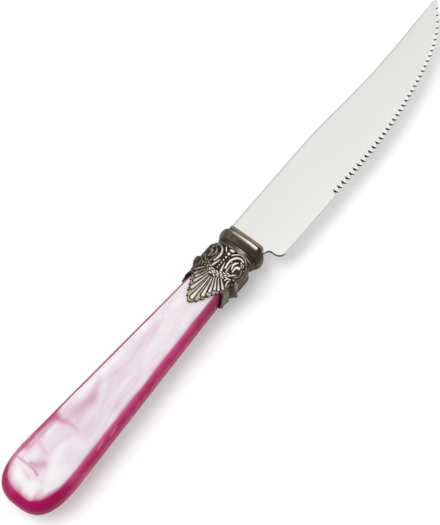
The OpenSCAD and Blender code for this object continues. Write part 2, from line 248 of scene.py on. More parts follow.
# Sizes in millimetres: a pair is a width and a thickness, a place is a distance behind the front
PLINTH = (13.9, 10.4)
PLINTH_SQUARE = 9.0
PLINTH_END = 1.1
PLINTH_ROUND = 0.35
COLLAR = (17.3, 12.2)
COLLAR_FROM = 1.3
COLLAR_TO = 5.4
COLLAR_FOOT = 0.35
NECK = (14.2, 10.6)
BEADS_FROM = 5.6
BEAD_LEN = 0.6
BEAD_HIGH = 0.3
BODY = (16.9, 14.6)
BODY_FLAT = 7.0
BODY_FROM = 6.8
SIDES_FULL = 10.6
CROWN_FULL = 10.0
FALL_FROM = 17.0
LAID_AT = 22.9
NOTCH_AT = 21.4
LEAVES_PART = 22.4
SIDE_TIP = 25.2
CUP_FLOOR = 9.2
SKIRT_WALL = 0.8
CUP_GAP = 0.1
SLOT_HALF = (3.35, 0.65)
HANDLE_MOUTH = (13.6, 10.2)
HANDLE_BUTT = (22.8, 12.8)
TAPER_END = 103.2
SECTION_SQUARE = 3.0
SECTION_STEPS = 600
CLOSER_AT_ENDS = 1.5
FACE_COLUMNS = 54
SIDE_COLUMNS = 30
QUARTER = FACE_COLUMNS + SIDE_COLUMNS
RELIEF = 0.55

axis_y = (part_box("handle")[0].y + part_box("handle")[1].y) / 2
mid_z = (blade_low.z + blade_high.z) / 2
origin = Vector((ferrule_high.x, axis_y, mid_z))


def eased(value, start, full):
    """0 at one place and 1 at another, eased between them."""
    share = np.clip((value - start) / (full - start), 0, 1)
    return share * share * (3 - 2 * share)


def between(ends, share):
    """A value part of the way from one end to the other."""
    return ends[0] + (ends[1] - ends[0]) * share


def quarter_section(half_wide, half_thick, square, face_columns, side_columns, half_flat=0.0):
    """Points from the middle of a face round to the middle of a side, and their distance along it.

    The corner, where the leaves part, always has the same column. half_flat is half a flat on the face."""
    turn = np.linspace(0, 1, SECTION_STEPS) ** CLOSER_AT_ENDS
    angle = np.concatenate([turn / 2, 1 - turn[::-1] / 2]) * math.pi / 2
    wide = half_wide * np.sin(angle) ** (2 / square)
    crest = half_thick / (1 - (half_flat / half_wide) ** square) ** (1 / square)
    thick = np.minimum(crest * np.cos(np.clip(angle, 0, math.pi / 2)) ** (2 / square), half_thick)
    along = np.concatenate([[0], np.cumsum(np.hypot(np.diff(wide), np.diff(thick)))])
    corner = np.interp(math.pi / 4, angle, along)
    wanted = np.concatenate([np.linspace(0, corner, face_columns + 1),
                             np.linspace(corner, along[-1], side_columns + 1)[1:]])
    return np.interp(wanted, along, wide), np.interp(wanted, along, thick), wanted


def all_round(quarter):
    """Which quarter column each column round a piece repeats, and the signs of its two sides."""
    up = np.arange(quarter)
    down = np.arange(quarter, 0, -1)
    column = np.concatenate([down, up, down, up])
    side = np.repeat([1, -1, -1, 1], quarter)
    face = np.repeat([1, 1, -1, -1], quarter)
    return column, side, face


def handle_half(behind, which):
    """Half width (0) or half thickness (1) of the handle at a distance behind the ferrule's front."""
    share = (behind - NOTCH_AT) / (TAPER_END - NOTCH_AT)
    return between((HANDLE_MOUTH[which], HANDLE_BUTT[which]), share) / 2


def skin(name, rings, closed, caps=()):
    """A mesh through rings of points, in millimetres about the ferrule's front, as a piece of the knife."""
    count = rings.shape[1]
    rows = len(rings)
    spans = rows if closed else rows - 1
    row = np.arange(spans)[:, None]
    column = np.arange(count)[None, :]
    after = (row + 1) % rows
    beside = (column + 1) % count
    quads = np.stack([row * count + column, after * count + column,
                      after * count + beside, row * count + beside], -1).reshape(-1, 4).tolist()
    points = rings.reshape(-1, 3)
    for ring, middle in caps:
        hub = len(points)
        points = np.vstack([points, [middle]])
        for k in range(count):
            pair = [ring * count + k, ring * count + (k + 1) % count]
            quads.append((pair[::-1] if ring else pair) + [hub])
    mesh = bpy.data.meshes.new(name)
    placed = points * MM * np.array([-1, 1, 1]) + np.array(origin)
    mesh.from_pydata(placed.tolist(), [], quads)
    mesh.polygons.foreach_set("use_smooth", [True] * len(mesh.polygons))
    mesh.update()
    piece = bpy.data.objects.new(name, mesh)
    bpy.context.scene.collection.objects.link(piece)
    return piece


def add_measure(piece, name, values):
    made = piece.data.attributes.new(name, "FLOAT", "POINT")
    made.data.foreach_set("value", np.asarray(values, np.float32).ravel())


def read_measure(tree, name):
    return add_node(tree, "ShaderNodeAttribute", {"attribute_name": name}).outputs["Fac"]


def smooth_line(points, steps=7):
    """A rounded line through points."""
    knots = np.array(points, float)
    padded = np.vstack([2 * knots[0] - knots[1], knots, 2 * knots[-1] - knots[-2]])
    made = []
    for k in range(1, len(padded) - 2):
        a, b, c, d = padded[k - 1:k + 3]
        for t in np.arange(steps) / steps:
            made.append(0.5 * (2 * b + (c - a) * t + (2 * a - 5 * b + 4 * c - d) * t ** 2
                               + (3 * b - a - 3 * c + d) * t ** 3))
    return np.array(made + [knots[-1]])


def nearest(behind, across, line):
    """Distance of each place from a line, and how far along the line it is nearest, 0 to 1."""
    best = np.full(behind.shape, 1e9)
    along = np.zeros(behind.shape)
    lengths = np.hypot(*np.diff(line, axis=0).T)
    ends = np.concatenate([[0], np.cumsum(lengths)])
    for k, length in enumerate(lengths):
        step = (line[k + 1] - line[k]) / length
        reach = np.clip((behind - line[k, 0]) * step[0] + (across - line[k, 1]) * step[1], 0, length)
        apart = np.hypot(behind - line[k, 0] - reach * step[0], across - line[k, 1] - reach * step[1])
        nearer = apart < best
        best = np.where(nearer, apart, best)
        along = np.where(nearer, (ends[k] + reach) / ends[-1], along)
    return best, along


def dome(share, fullness=0.8):
    """Height over a rounded form, 1 at its middle and 0 at its edge."""
    return np.clip(1 - share ** 2, 0, None) ** fullness


def raise_ridge(height, behind, across, points, half_width, top=0.0, fullness=0.8):
    """Lays a rounded ridge along a line. half_width is its start's and its end's."""
    apart, along = nearest(behind, across, smooth_line(points))
    half = between(half_width, along)
    ridge = -RELIEF + (top + RELIEF) * dome(apart / half, fullness)
    return np.where(apart < half, np.maximum(height, ridge), height)


def raise_oval(height, behind, across, middle, half_long, half_wide, turn=0.0, top=0.0):
    """Lays a rounded oval, such as a bead or a small leaf."""
    c, s = math.cos(turn), math.sin(turn)
    u = behind - middle[0]
    w = across - middle[1]
    share = np.hypot((u * c + w * s) / half_long, (w * c - u * s) / half_wide)
    oval = -RELIEF + (top + RELIEF) * dome(share)
    return np.where(share < 1, np.maximum(height, oval), height)


# The palmette fans out from a middle under the garland: each petal's turn in degrees, its start and
# end from that middle and half its width at the end, then the rim's reach and the notches in it
FAN_AT = 16.0
PETALS = ((0, 4.6, 13.7, 0.74), (12, 4.3, 11.1, 0.7), (21.5, 4.0, 8.9, 0.6), (31, 3.8, 7.8, 0.56),
          (41, 4.1, 7.9, 0.5), (52, 4.5, 7.7, 0.52))
LEAF_RIM = ((0, 15.9), (6, 15.1), (11, 13.7), (18, 12.0), (26, 10.6), (35, 9.8), (45, 9.4), (60, 9.2))
NOTCHES = (5.4, 11, 18.2, 25.5, 33, 41, 49)
NOTCH_DEEP = 1.0
NOTCH_WIDE = 0.36


def leaf_reach(angle):
    """Distance of the palmette's lobed rim from its middle, at an angle in degrees."""
    smooth = np.interp(angle, [a for a, _ in LEAF_RIM], [r for _, r in LEAF_RIM])
    off = np.min(np.abs(np.asarray(angle)[..., None] - np.array(NOTCHES)), axis=-1)
    return smooth - NOTCH_DEEP * np.exp(-(np.radians(off) * smooth / NOTCH_WIDE) ** 2)


def fan_angle(behind, across):
    return np.degrees(np.arctan2(across, np.maximum(behind - FAN_AT, 0.01)))


# The swelling body and the skirt before carving, at each distance behind the front
LONGEST = 33
STATION_STEP = 0.05
stations = np.arange(BODY_FROM, LONGEST, STATION_STEP)
plain = []
for station in stations:
    laid = eased(station, FALL_FROM, LAID_AT)
    rise = eased(station, BODY_FROM, SIDES_FULL)
    crown = math.sin(math.pi / 2 * min(1, (station - BODY_FROM) / (CROWN_FULL - BODY_FROM)))
    halves = []
    for which, share in ((0, rise), (1, crown)):
        swollen = between((NECK[which], BODY[which]), share) / 2
        over_handle = handle_half(station, which) + CUP_GAP + SKIRT_WALL
        halves.append(between((swollen, over_handle), laid))
    half_flat = (1 - laid) * crown * BODY_FLAT / 2
    plain.append(quarter_section(*halves, SECTION_SQUARE, FACE_COLUMNS, SIDE_COLUMNS, half_flat))
plain = np.array(plain)

# Where each column of the skirt ends: on the palmette's rim, or on a side leaf's scalloped one
SCALLOP = 0.25
SCALLOPS = 2
SIDE_POINTED = 1.2
CORNER_REACH = 0.3
column_end = []
for k in range(QUARTER + 1):
    if k <= FACE_COLUMNS:
        w = plain[:, 2, k]
        inside = np.hypot(stations - FAN_AT, w) < leaf_reach(fan_angle(stations, w))
        inside &= stations > FALL_FROM
        column_end.append(stations[inside].max() if inside.any() else LEAVES_PART)
    else:
        off = 1 - (k - FACE_COLUMNS) / SIDE_COLUMNS
        scallop = SCALLOP * (math.cos(off * SCALLOPS * 2 * math.pi) - 1)
        column_end.append(between((LEAVES_PART, SIDE_TIP), 1 - off ** SIDE_POINTED) + scallop)
column_end = np.array(column_end)
corner = slice(FACE_COLUMNS - 3, FACE_COLUMNS + 1)
column_end[corner] = np.minimum(column_end[corner], LEAVES_PART + CORNER_REACH)

BODY_STEP = 0.115
SKIRT_ROWS = 128
body_rows = np.repeat(np.arange(BODY_FROM, FALL_FROM, BODY_STEP)[:, None], QUARTER + 1, 1)
shares = np.linspace(0, 1, SKIRT_ROWS)[:, None]
skirt_rows = FALL_FROM + shares * (column_end[None, :] - FALL_FROM)
behind = np.vstack([body_rows, skirt_rows])


def at_rows(values):
    """Values of the plain form, taken from its stations to the rows that are carved."""
    return np.stack([np.interp(behind[:, k], stations, values[:, k]) for k in range(QUARTER + 1)], 1)


wide = at_rows(plain[:, 0])
thick = at_rows(plain[:, 1])
across = at_rows(plain[:, 2])
from_side = at_rows(plain[:, 2][:, -1:] - plain[:, 2])

# Carving: rounded forms on a low ground. Beads are (behind the front, across the face, radius)
height = np.full(behind.shape, -RELIEF)
BEADS = ((8.0, 0, 1.15), (10.1, 0, 0.68), (11.6, 0, 0.49), (12.9, 0, 0.44), (14.1, 0, 0.41), (15.2, 0, 0.37),
         (16.2, 0, 0.33), (7.1, 1.9, 0.42), (12.0, 2.8, 0.32), (10.9, 4.45, 0.46), (10.15, 5.45, 0.42),
         (10.6, 6.45, 0.8), (11.2, 8.25, 0.45), (16.2, 7.4, 0.55), (17.6, 8.15, 0.45), (16.8, 9.0, 0.42))
BEAD_TOP = 0.3
BEAD_SUNK = 0.05
for u, w, radius in BEADS:
    top = BEAD_TOP * radius - BEAD_SUNK
    height = raise_oval(height, behind, across, (u, w), radius, radius, top=top)
# Scrolls and ribs, as (line, half width at its start and end, top)
SCROLLS = (
    (((9.9, 1.2), (8.8, 2.0), (7.6, 2.75)), (0.34, 0.42), 0.0),
    (((7.5, 2.9), (7.5, 4.6), (8.3, 6.4), (9.2, 7.4)), (0.32, 0.3), -0.08),
    (((14.9, 2.35), (13.2, 2.05), (11.6, 2.05), (10.2, 2.7), (9.4, 3.5), (8.9, 4.5), (9.2, 5.5)),
     (0.5, 0.66), 0.06),
    (((13.4, 0.95), (14.8, 1.3), (16.5, 1.8)), (0.12, 0.62), 0.0),
    (((14.0, 4.3), (12.5, 3.8), (11.5, 4.0)), (0.34, 0.6), 0.02),
    (((14.6, 5.15), (13.2, 5.0), (12.3, 5.3), (12.0, 6.1)), (0.3, 0.78), 0.04),
    (((15.8, 3.4), (14.3, 3.2), (13.0, 3.1), (12.4, 3.3)), (0.5, 0.34), -0.14),
    (((15.6, 5.8), (15.0, 6.2), (14.4, 6.8)), (0.5, 0.36), -0.02),
    (((11.9, 7.4), (13.0, 8.1), (14.4, 7.9), (15.3, 7.1)), (0.36, 0.5), -0.05),
    (((9.6, 8.1), (11.2, 9.2), (13.0, 9.5), (14.8, 9.1), (16.0, 8.3)), (0.4, 0.44), -0.04),
    (((9.2, 9.2), (10.8, 10.4), (12.8, 10.7), (14.8, 10.4), (16.2, 9.9)), (0.42, 0.46), -0.04),
    (((9.4, 10.7), (11.4, 11.7), (13.4, 12.0), (15.6, 11.6)), (0.44, 0.46), -0.05),
    (((9.8, 12.3), (12.0, 12.9), (14.2, 13.2), (15.8, 13.0)), (0.46, 0.46), -0.05),
    (((19.7, 6.4), (18.5, 6.1), (17.6, 6.3)), (0.42, 0.36), -0.05),
    (((18.4, 4.9), (17.5, 5.4), (16.9, 6.4)), (0.36, 0.36), -0.05),
    (((20.6, 7.3), (19.4, 7.0), (18.4, 7.2)), (0.4, 0.34), -0.08),
)
for line, half_width, top in SCROLLS:
    height = raise_ridge(height, behind, across, line, half_width, top)
# The largest side bead is a ring with a pit in it
RING_AT = (10.6, 6.45)
RING_PIT = 0.34
height = np.where(np.hypot(behind - RING_AT[0], across - RING_AT[1]) < RING_PIT, -RELIEF, height)

# The garland: three rows of small leaves braided along a hanging line
GARLAND = ((18.45, -0.6), (18.45, 0.2), (18.3, 1.4), (17.75, 2.9), (17.0, 4.2), (16.2, 5.3))
GARLAND_STEPS = 12
GARLAND_FROM = 0.4
ROW_SPACE = 0.72
ROW_STAGGER = 0.45
LEAF_SPACE = 1.36
SMALL_LEAF = (0.92, 0.37)
SMALL_LEAF_TOP = 0.04
LOOK_AHEAD = 0.1
garland = smooth_line(GARLAND, GARLAND_STEPS)
lengths = np.concatenate([[0], np.cumsum(np.hypot(*np.diff(garland, axis=0).T))])


def on_garland(length):
    return np.array([np.interp(length, lengths, garland[:, i]) for i in (0, 1)])


for row, tilt in ((-1, -0.42), (0, 0.36), (1, -0.42)):
    for length in np.arange(GARLAND_FROM + ROW_STAGGER * (row + 1), lengths[-1], LEAF_SPACE):
        at = on_garland(length)
        ahead = on_garland(length + LOOK_AHEAD) - at
        heading = math.atan2(ahead[1], ahead[0])
        out = np.array([math.sin(heading), -math.cos(heading)]) * row * ROW_SPACE
        height = raise_oval(height, behind, across, at + out, *SMALL_LEAF, heading + tilt, SMALL_LEAF_TOP)

# The palmette: a plate with a groove round each raised petal
PLATE = -0.1
PLATE_LEAD = 0.5
PLATE_ANGLE = 58
GROOVE_DEEP = 0.42
GROOVE_WIDE = 0.17
GROOVE_OFF = 0.08
PETAL_ROOT = 0.2
PETAL_SWELL = 1.2
PETAL_FULL = 0.55
PETAL_FOOT = -0.34
PETAL_RISE = (0.5, 0.62)
PETAL_SHINE = (0.55, 1.0)
SHINE_FULL = 0.9
reach = np.hypot(behind - FAN_AT, across)
angle = fan_angle(behind, across)
plate_from = np.interp(angle, [petal[0] for petal in PETALS], [petal[1] for petal in PETALS]) - PLATE_LEAD
on_face = np.arange(QUARTER + 1)[None, :] <= FACE_COLUMNS
on_plate = (behind > FAN_AT + 1) & (angle < PLATE_ANGLE) & on_face & (reach > plate_from)
fan = np.full(behind.shape, PLATE)
shine = np.zeros(behind.shape)
for turn, start, stop, end_half in PETALS:
    heading = np.array([math.cos(math.radians(turn)), math.sin(math.radians(turn))])
    line = np.array([[FAN_AT, 0] + heading * start, [FAN_AT, 0] + heading * stop])
    apart, along = nearest(behind, across, line)
    half = between((PETAL_ROOT, end_half), along ** PETAL_SWELL)
    off = np.minimum(apart / half, 1)
    groove = PLATE - GROOVE_DEEP * np.exp(-((apart - half - GROOVE_OFF) / GROOVE_WIDE) ** 2)
    petal = PLATE + PETAL_FOOT + between(PETAL_RISE, along) * dome(off, PETAL_FULL)
    raised = np.maximum(petal, np.where(fan > PLATE, fan, -RELIEF))
    fan = np.where(apart < half, raised, np.minimum(fan, groove))
    shine = np.maximum(shine, dome(off, SHINE_FULL) * between(PETAL_SHINE, along))
height = np.where(on_plate, np.maximum(fan, -RELIEF), height)

# The sides: a curled lobe behind the ribs, a hollow, and a plain leaf with a raised rim and midrib
SIDE_LEAF_UP = 0.05
VEIN_HIGH = 0.1
VEIN_SPACE = 1.3
VEIN_SLANT = 0.9
SIDE_LEAF_FROM = 20.1
SIDE_LEAF_ARCH = 0.4
SIDE_LEAF_HALF = 4
SIDE_RIM_HIGH = 0.24
SIDE_RIM_IN = 0.5
SIDE_RIM_WIDE = 0.3
MIDRIB_HIGH = 0.26
MIDRIB_WIDE = 0.36
LOBE = ((16.4, 4.3), (17.2, 2.7), (17.6, 1.0), (17.7, -0.6))
LOBE_HALF = (1.1, 1.75)
LOBE_TOP = 0.85
LOBE_FULL = 1.4
low_ground = np.full(behind.shape, -RELIEF)
to_rim = column_end[None, :] - behind
on_side = np.arange(QUARTER + 1)[None, :] > FACE_COLUMNS - 2
veins = VEIN_HIGH * np.cos((behind - VEIN_SLANT * from_side) * 2 * math.pi / VEIN_SPACE)
side_rim = SIDE_RIM_HIGH * np.exp(-((to_rim - SIDE_RIM_IN) / SIDE_RIM_WIDE) ** 2)
midrib = MIDRIB_HIGH * np.exp(-(from_side / MIDRIB_WIDE) ** 2)
arch = np.cos(np.clip(from_side, 0, SIDE_LEAF_HALF) * math.pi / SIDE_LEAF_HALF)
leaf_from = SIDE_LEAF_FROM + SIDE_LEAF_ARCH * arch
on_leaf = on_side & (behind > leaf_from)
height = np.where(on_leaf, SIDE_LEAF_UP + np.maximum(veins + side_rim, midrib), height)
lobe = raise_ridge(low_ground, behind, from_side, LOBE, LOBE_HALF, LOBE_TOP, LOBE_FULL)
height = np.where(on_side, np.maximum(height, lobe), height)

# Carving starts behind the beads, and the rim of every leaf is rounded off
CARVING_LEAD = 0.5
RIM_ROUND = 0.35
RIM_FALL = 0.8
height = height * eased(behind, BODY_FROM, BODY_FROM + CARVING_LEAD)
rounded = RIM_ROUND ** 2 - np.clip(RIM_ROUND - to_rim, 0, None) ** 2
height = np.maximum(height, -RELIEF) - RIM_FALL * (RIM_ROUND - np.sqrt(np.clip(rounded, 0, None)))


def blurred(field, passes):
    """A field evened out with its neighbours, mirrored at the middle of a face and of a side."""
    for _ in range(passes):
        wider = np.pad(field, 1, mode="reflect")
        field = (wider[1:-1, 1:-1] * 4 + wider[:-2, 1:-1] + wider[2:, 1:-1]
                 + wider[1:-1, :-2] + wider[1:-1, 2:]) / 8
    return field


# Rubbing brightened the crests and whatever stands proud of its neighbours; stain stayed in the rest, most of
# all round the corners and on the sides. Painted shade darkens a line inside every leaf's rim and the back of
# the side lobe
LOW_RUB = 0.17
CREST_RUB = 0.5
CREST_POWER = 1.2
CREST_LIMIT = 1.2
PROUD_RUB = 1.2
PROUD_PASSES = 40
PETAL_RUB = 0.95
CORNER_STAIN = 0.55
CORNER_ACROSS = (5.2, 8.4)
CORNER_BEHIND = (21, 18)
RIM_SHADE = 0.85
RIM_SHADE_WIDE = 0.42
LEAF_STAIN = 0.6
HOLLOW_STAIN = 0.6
HOLLOW_LONG = 2.2
HOLLOW_LOW = -0.2
LOBE_BACK_SHADE = 0.6
LOBE_BACK = (17.2, 18.0)
LOBE_LOW = -0.3
height = blurred(height, 1)
proud = height - blurred(height, PROUD_PASSES)
crest = np.clip((height + RELIEF) / RELIEF, 0, CREST_LIMIT)
wear_and_painted_light = np.clip(LOW_RUB + CREST_RUB * crest ** CREST_POWER + PROUD_RUB * proud, 0, 1)
wear_and_painted_light = np.where(on_plate, np.maximum(wear_and_painted_light, PETAL_RUB * shine), wear_and_painted_light)
wear_and_painted_light = wear_and_painted_light * (1 - CORNER_STAIN * eased(across, *CORNER_ACROSS) * eased(behind, *CORNER_BEHIND))
# Painted shade: a dark line just inside every leaf's rim
wear_and_painted_light = wear_and_painted_light * (1 - RIM_SHADE * np.exp(-(to_rim / RIM_SHADE_WIDE) ** 2))
wear_and_painted_light = wear_and_painted_light * (1 - LEAF_STAIN * on_leaf)
hollow = on_side & (behind < leaf_from) & (behind > leaf_from - HOLLOW_LONG) & (height < HOLLOW_LOW)
wear_and_painted_light = wear_and_painted_light * (1 - HOLLOW_STAIN * hollow)
on_lobe = on_side & (lobe > LOBE_LOW)
# Painted shade on the back flank of the lobe
wear_and_painted_light = wear_and_painted_light * (1 - LOBE_BACK_SHADE * on_lobe * eased(behind, *LOBE_BACK))
# Painted shade: one half of each face is darker, most of all on its scrolls and the palmette's outer petals
HALF_SHADE = 0.45
HALF_ACROSS = (0.6, 4.1)
HALF_SHARE = (0.35, 1.0)
HALF_BEHIND = (23, 18)
PALMETTE_SHADE = 0.3
PALMETTE_ACROSS = (4.6, 6.2)
PALMETTE_BEHIND = (18, 20)
OFF_SIDE = (0, 2.5)
painted_half_shade = HALF_SHADE * eased(across, *HALF_ACROSS) * between(HALF_SHARE, eased(behind, *HALF_BEHIND))
on_palmette = eased(across, *PALMETTE_ACROSS) * eased(behind, *PALMETTE_BEHIND)
painted_half_shade = (painted_half_shade + PALMETTE_SHADE * on_palmette) * eased(from_side, *OFF_SIDE)

# Each point moves along the section's own normal, and none rises above the body's own thickness
widest = wide.max(axis=1, keepdims=True)
thickest = thick.max(axis=1, keepdims=True)
outward_wide = (wide / widest) ** (SECTION_SQUARE - 1) / widest
outward_thick = (thick / thickest) ** (SECTION_SQUARE - 1) / thickest
outward = np.hypot(outward_wide, outward_thick)
wide = wide + height * outward_wide / outward
thick = np.minimum(thick + height * outward_thick / outward, BODY[1] / 2)

SIDE_SHADE_FROM = (2.5, 5.5)
column, side, face = all_round(QUARTER)
rings = []
ring_brightness = []


def add_ring(behind, wide, thick, brightness, shaded_half=0.0):
    """One ring of the casting and how bright each of its points is, from wear and painted light; one half of
    each face can be darkened as painted shade.
    """
    rings.append(np.stack([np.broadcast_to(behind, wide.shape)[column], wide[column] * side,
                           thick[column] * face], 1))
    darker = np.broadcast_to(shaded_half, wide.shape)[column] * (side * face > 0)
    ring_brightness.append(np.broadcast_to(brightness, wide.shape)[column] * (1 - darker))


def plain_ring(behind, width, thickness, square, brightness, side_shade=0.0):
    """A ring without carving, which can be darkened towards the sides as painted shade. Gives how far each of
    its points is from the middle of a face.
    """
    section = quarter_section(width / 2, thickness / 2, square, FACE_COLUMNS, SIDE_COLUMNS)
    add_ring(behind, section[0], section[1], brightness * (1 - side_shade * eased(section[2], *SIDE_SHADE_FROM)))
    return section[2][column] * side * face


def slot_ring(behind):
    turn = np.linspace(0, math.pi / 2, QUARTER + 1)
    reach = np.maximum(np.sin(turn), np.cos(turn))
    add_ring(behind, SLOT_HALF[0] * np.sin(turn) / reach, SLOT_HALF[1] * np.cos(turn) / reach, SLOT_RUB)


# The plinth, from the slot's mouth out over its rounded front edge
SLOT_RUB = 0.2
PLINTH_RUB = 0.42
PLINTH_BACK_RUB = 0.3
PLINTH_CHAMFER = 0.15
PLINTH_ROWS = 5
PLINTH_SIDES = (0.7, 1.0)
slot_ring(0)
for turn in np.linspace(0, math.pi / 2, PLINTH_ROWS):
    inset = 2 * PLINTH_ROUND * (1 - math.sin(turn))
    plain_ring(PLINTH_ROUND * (1 - math.cos(turn)), PLINTH[0] - inset, PLINTH[1] - inset,
               PLINTH_SQUARE, PLINTH_RUB)
for station in PLINTH_SIDES:
    plain_ring(station, *PLINTH, PLINTH_SQUARE, PLINTH_RUB)
plain_ring(PLINTH_END, PLINTH[0] - PLINTH_CHAMFER, PLINTH[1] - PLINTH_CHAMFER,
           PLINTH_SQUARE, PLINTH_BACK_RUB)

# The collar, with pairs for the two sides of its painted highlight
COLLAR_ROWS = 30
COLLAR_STAIN_AND_SHADE = (0.24, 0.07)
GLEAM_AT = (0.98, 0.92)
GLEAM_WIDE = (0.28, 0.44)
GLEAM_BRIGHT = (0.38, 0.88)
GLEAM_SWEEP = (4, -5.6)
GLEAM_FROM = (-6.5, -5.3)
GLEAM_TO = (6.5, 3.5)
GLEAM_EVEN = 4


def gleam(turn, off_middle):
    """How bright the collar is painted: a painted highlight on its front shoulder that widens to one side,
    over a dark stain painted darker as shade where the highlight is brightest.
    """
    to_side = np.abs(off_middle)
    off_side = eased(to_side, to_side.max(), to_side.max() - GLEAM_EVEN)
    share = between((0.5, eased(off_middle, *GLEAM_SWEEP)), off_side)
    bright = between(GLEAM_BRIGHT, share) * eased(off_middle, *GLEAM_FROM) * eased(off_middle, *GLEAM_TO)
    off_gleam = (turn - between(GLEAM_AT, share)) / between(GLEAM_WIDE, share)
    return between(COLLAR_STAIN_AND_SHADE, share) + bright * np.exp(-off_gleam ** 2)


for turn in np.linspace(0, math.pi, COLLAR_ROWS):
    up = between((COLLAR_FOOT, 1), math.sin(turn))
    station = (COLLAR_FROM + COLLAR_TO) / 2 - (COLLAR_TO - COLLAR_FROM) / 2 * math.cos(turn)
    off_middle = plain_ring(station, between((PLINTH[0], COLLAR[0]), up), between((PLINTH[1], COLLAR[1]), up),
                            SECTION_SQUARE, COLLAR_STAIN_AND_SHADE[0])
    ring_brightness[-1] = gleam(turn, off_middle)

# Two bead rings, with a painted highlight beside the gleam and painted shade towards the sides
BEAD_ROWS = 9
BEAD_RUB = (0.26, 0.76)
BEAD_SIDE_SHADE = 0.6
BEAD_HIGHLIGHT_AT = -3
BEAD_HIGHLIGHT_WIDE = 3
BEAD_HIGHLIGHT_SHARE = (0.5, 1.0)
for bead in range(2):
    for turn in np.linspace(0, math.pi, BEAD_ROWS):
        up = 2 * BEAD_HIGH * math.sin(turn)
        station = BEADS_FROM + (bead + turn / math.pi) * BEAD_LEN
        off_middle = plain_ring(station, NECK[0] + up, NECK[1] + up, SECTION_SQUARE,
                                between(BEAD_RUB, math.sin(turn)), BEAD_SIDE_SHADE)
        off_highlight = (off_middle - BEAD_HIGHLIGHT_AT) / BEAD_HIGHLIGHT_WIDE
        ring_brightness[-1] = ring_brightness[-1] * between(BEAD_HIGHLIGHT_SHARE, np.exp(-off_highlight ** 2))

# The carved body and skirt, then the cup's lining back to the slot
LINING_ROWS = 6
LINING_RUB = 0.1
for row in range(1, len(behind)):
    add_ring(behind[row], wide[row], thick[row], wear_and_painted_light[row], painted_half_shade[row])
for share in np.linspace(1, 0, LINING_ROWS):
    lined = between((CUP_FLOOR, column_end), share)
    lining = np.array([quarter_section(handle_half(u, 0) + CUP_GAP, handle_half(u, 1) + CUP_GAP,
                                       SECTION_SQUARE, FACE_COLUMNS, SIDE_COLUMNS)[:2] for u in lined])
    every = np.arange(QUARTER + 1)
    add_ring(lined, lining[every, 0, every], lining[every, 1, every], LINING_RUB)
slot_ring(CUP_FLOOR)

ferrule = skin("ferrule_casting", np.array(rings), closed=True)
# The measure holds the wear together with the painted highlights and painted shade
add_measure(ferrule, "wear_and_painted_light", np.array(ring_brightness))
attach(ferrule, "root")
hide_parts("ferrule")

ANTIQUE_TONES = ((0.0, (0.031, 0.025, 0.017, 1)), (0.22, (0.082, 0.07, 0.052, 1)),
                 (0.5, (0.3, 0.26, 0.2, 1)), (0.82, (0.92, 0.87, 0.77, 1)))
UNEVEN_STAIN = 0.08
antique, tree, shader = new_finish("antiqued_metal")
smudge, grain = add_marks(tree, 420.0, 2600.0, (1, 1, 1))
uneven = spread(tree, smudge, 0.25, 0.75, -UNEVEN_STAIN, UNEVEN_STAIN)
wear_and_light = calculate(tree, "ADD", read_measure(tree, "wear_and_painted_light"), uneven)
shader.inputs["Metallic"].default_value = 1.0
tree.links.new(colour_steps(tree, wear_and_light, ANTIQUE_TONES), shader.inputs["Base Color"])
tree.links.new(spread(tree, wear_and_light, 0.1, 0.8, 0.42, 0.2), shader.inputs["Roughness"])
add_bump(tree, shader, grain, 0.1, 0.00008)
give_finish(ferrule, antique)

# Tang resin: amber adhesive poured into the handle's bore round the tang, where it cured.
# It fills the bore to its mouth and is hidden once the ferrule is on.
DARK_AMBER = (0.62, 0.52, 0.33, 1)
PALE_AMBER = (0.82, 0.76, 0.6, 1)
resin, tree, shader = new_finish("cured_resin")
smudge, grain = add_marks(tree, 300.0, 1500.0, (1, 1, 1))
tree.links.new(blend_colours(tree, smudge, DARK_AMBER, PALE_AMBER), shader.inputs["Base Color"])
tree.links.new(spread(tree, grain, 0.3, 0.7, 0.3, 0.5), shader.inputs["Roughness"])
add_bump(tree, shader, grain, 0.15, 0.0001)
give_finish(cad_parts["tang_resin"], resin)

# Handle: pearl acrylic, moulded solid, bored for the tang and polished.
# Pearl flakes lie flat in the faces and make them pale and silky; where the skin turns to the
# sides and the butt, the eye meets the flakes edge on and sees the deep pink resin. The pale sheen is painted
# into the colour by which way the skin faces.
BUTT_ROUND = 16.8
BUTT_END = 120.0
BUTT_PLAN = 2.85
BUTT_SIDE = 2.8
BORE_RADIUS = 4.1
BORE_END = 49.0
HANDLE_FROM = 9.3
TAPER_ROWS = 250
BUTT_ROWS = 70
BUTT_TURN = (1, 89.4)
GRIP_FACE = 34
GRIP_SIDE = 26
GRIP_QUARTER = GRIP_FACE + GRIP_SIDE

grip_column, grip_side, grip_face = all_round(GRIP_QUARTER)
grip_rings = []


def grip_ring(station, wide, thick):
    grip_rings.append(np.stack([np.full(len(grip_column), station), wide[grip_column] * grip_side,
                                thick[grip_column] * grip_face], 1))


def outer_ring(station, half_wide, half_thick):
    section = quarter_section(half_wide, half_thick, SECTION_SQUARE, GRIP_FACE, GRIP_SIDE)
    grip_ring(station, section[0], section[1])


